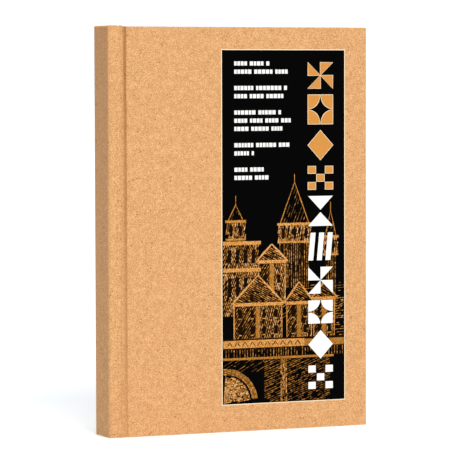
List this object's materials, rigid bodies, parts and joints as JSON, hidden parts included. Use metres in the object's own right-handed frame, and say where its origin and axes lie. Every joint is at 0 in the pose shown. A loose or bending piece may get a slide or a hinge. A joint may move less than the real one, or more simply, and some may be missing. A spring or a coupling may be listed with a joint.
{
  "type": "hardcover sketchbook",
  "caption": "Upright case-bound sketchbook with kraft-covered boards, pressed spine joints, a dark front label, sewn sections and perforated leaves that turn.",
  "frame": {"origin": "middle of the footprint, on the surface the book stands on", "axes": "+Z from tail to head, +X from the spine to the fore-edge, the front cover faces -Y"},
  "size_m": [0.1454, 0.0209, 0.2101],
  "materials": {
    "kraft_wrap": "uncoated kraft covering paper",
    "greyboard": "raw greyboard",
    "endpaper": "smooth uncoated",
    "drawing_paper": "vellum drawing surface",
    "mull_cloth": "open weave",
    "liner_paper": "crepe kraft",
    "linen_thread": "waxed",
    "band_cloth": "woven cotton",
    "label_black": "printed, satin",
    "print_white": "printed, satin",
    "print_amber": "printed, satin"
  },
  "bodies": {
    "spine": {"spine_board": "greyboard", "spine_wrap": "kraft_wrap", "front_joint_wrap": "kraft_wrap", "back_joint_wrap": "kraft_wrap", "front_endpaper_hinge": "endpaper", "back_endpaper_hinge": "endpaper", "section_1_fold": "drawing_paper", "section_2_fold": "drawing_paper", "section_3_fold": "drawing_paper", "section_4_fold": "drawing_paper", "section_5_fold": "drawing_paper", "section_6_fold": "drawing_paper", "section_7_fold": "drawing_paper", "section_8_fold": "drawing_paper", "spine_mull": "mull_cloth", "spine_liner": "liner_paper", "sewing_thread": "linen_thread", "headband": "band_cloth", "tailband": "band_cloth"},
    "front_cover": {"front_cover_board": "greyboard", "front_cover_wrap": "kraft_wrap", "front_pastedown": "endpaper", "front_label": "label_black"},
    "back_cover": {"back_cover_board": "greyboard", "back_cover_wrap": "kraft_wrap", "back_pastedown": "endpaper"},
    "front_flyleaf": {"front_flyleaf": "endpaper"},
    "section_1_leaves": {"section_1_leaves": "drawing_paper"},
    "section_2_leaves": {"section_2_leaves": "drawing_paper"},
    "section_3_leaves": {"section_3_leaves": "drawing_paper"},
    "section_4_leaves": {"section_4_leaves": "drawing_paper"},
    "back_flyleaf": {"back_flyleaf": "endpaper"},
    "section_8_leaves": {"section_8_leaves": "drawing_paper"},
    "section_7_leaves": {"section_7_leaves": "drawing_paper"},
    "section_6_leaves": {"section_6_leaves": "drawing_paper"},
    "section_5_leaves": {"section_5_leaves": "drawing_paper"}
  },
  "joints": [
    {"name": "front_cover_open", "type": "hinge", "parent": "spine", "child": "front_cover", "pos_m": [-0.06872, -0.008, 0.1048], "axis": [0, 0, -1], "range_deg": [0, 180], "deforming": ["front_joint_wrap", "front_endpaper_hinge"]},
    {"name": "back_cover_open", "type": "hinge", "parent": "spine", "child": "back_cover", "pos_m": [-0.06872, 0.008, 0.1048], "axis": [0, 0, 1], "range_deg": [0, 180], "deforming": ["back_joint_wrap", "back_endpaper_hinge"]},
    {"name": "front_flyleaf_turn", "type": "hinge", "parent": "spine", "child": "front_flyleaf", "pos_m": [-0.06872, -0.00749, 0.1048], "axis": [0, 0, -1], "range_deg": [0, 165.6]},
    {"name": "section_1_turn", "type": "hinge", "parent": "spine", "child": "section_1_leaves", "pos_m": [-0.06872, -0.00726, 0.1048], "axis": [0, 0, -1], "range_deg": [0, 147.6], "deforming": ["section_1_fold"]},
    {"name": "section_2_turn", "type": "hinge", "parent": "spine", "child": "section_2_leaves", "pos_m": [-0.06872, -0.00545, 0.1048], "axis": [0, 0, -1], "range_deg": [0, 109.8], "deforming": ["section_2_fold"]},
    {"name": "section_3_turn", "type": "hinge", "parent": "spine", "child": "section_3_leaves", "pos_m": [-0.06872, -0.00363, 0.1048], "axis": [0, 0, -1], "range_deg": [0, 81], "deforming": ["section_3_fold"]},
    {"name": "section_4_turn", "type": "hinge", "parent": "spine", "child": "section_4_leaves", "pos_m": [-0.06872, -0.0018, 0.1048], "axis": [0, 0, -1], "range_deg": [0, 57.6], "deforming": ["section_4_fold"]},
    {"name": "back_flyleaf_turn", "type": "hinge", "parent": "spine", "child": "back_flyleaf", "pos_m": [-0.06872, 0.00749, 0.1048], "axis": [0, 0, 1], "range_deg": [0, 165.6]},
    {"name": "section_8_turn", "type": "hinge", "parent": "spine", "child": "section_8_leaves", "pos_m": [-0.06872, 0.00726, 0.1048], "axis": [0, 0, 1], "range_deg": [0, 147.6], "deforming": ["section_8_fold"]},
    {"name": "section_7_turn", "type": "hinge", "parent": "spine", "child": "section_7_leaves", "pos_m": [-0.06872, 0.00545, 0.1048], "axis": [0, 0, 1], "range_deg": [0, 109.8], "deforming": ["section_7_fold"]},
    {"name": "section_6_turn", "type": "hinge", "parent": "spine", "child": "section_6_leaves", "pos_m": [-0.06872, 0.00363, 0.1048], "axis": [0, 0, 1], "range_deg": [0, 81], "deforming": ["section_6_fold"]},
    {"name": "section_5_turn", "type": "hinge", "parent": "spine", "child": "section_5_leaves", "pos_m": [-0.06872, 0.0018, 0.1048], "axis": [0, 0, 1], "range_deg": [0, 57.6], "deforming": ["section_5_fold"]}
  ],
  "couplings": [
    {"joint": "front_flyleaf_turn", "follows": "front_cover_open", "ratio": 0.92},
    {"joint": "section_1_turn", "follows": "front_cover_open", "ratio": 0.82},
    {"joint": "section_2_turn", "follows": "front_cover_open", "ratio": 0.61},
    {"joint": "section_3_turn", "follows": "front_cover_open", "ratio": 0.45},
    {"joint": "section_4_turn", "follows": "front_cover_open", "ratio": 0.32},
    {"joint": "back_flyleaf_turn", "follows": "back_cover_open", "ratio": 0.92},
    {"joint": "section_8_turn", "follows": "back_cover_open", "ratio": 0.82},
    {"joint": "section_7_turn", "follows": "back_cover_open", "ratio": 0.61},
    {"joint": "section_6_turn", "follows": "back_cover_open", "ratio": 0.45},
    {"joint": "section_5_turn", "follows": "back_cover_open", "ratio": 0.32}
  ]
}
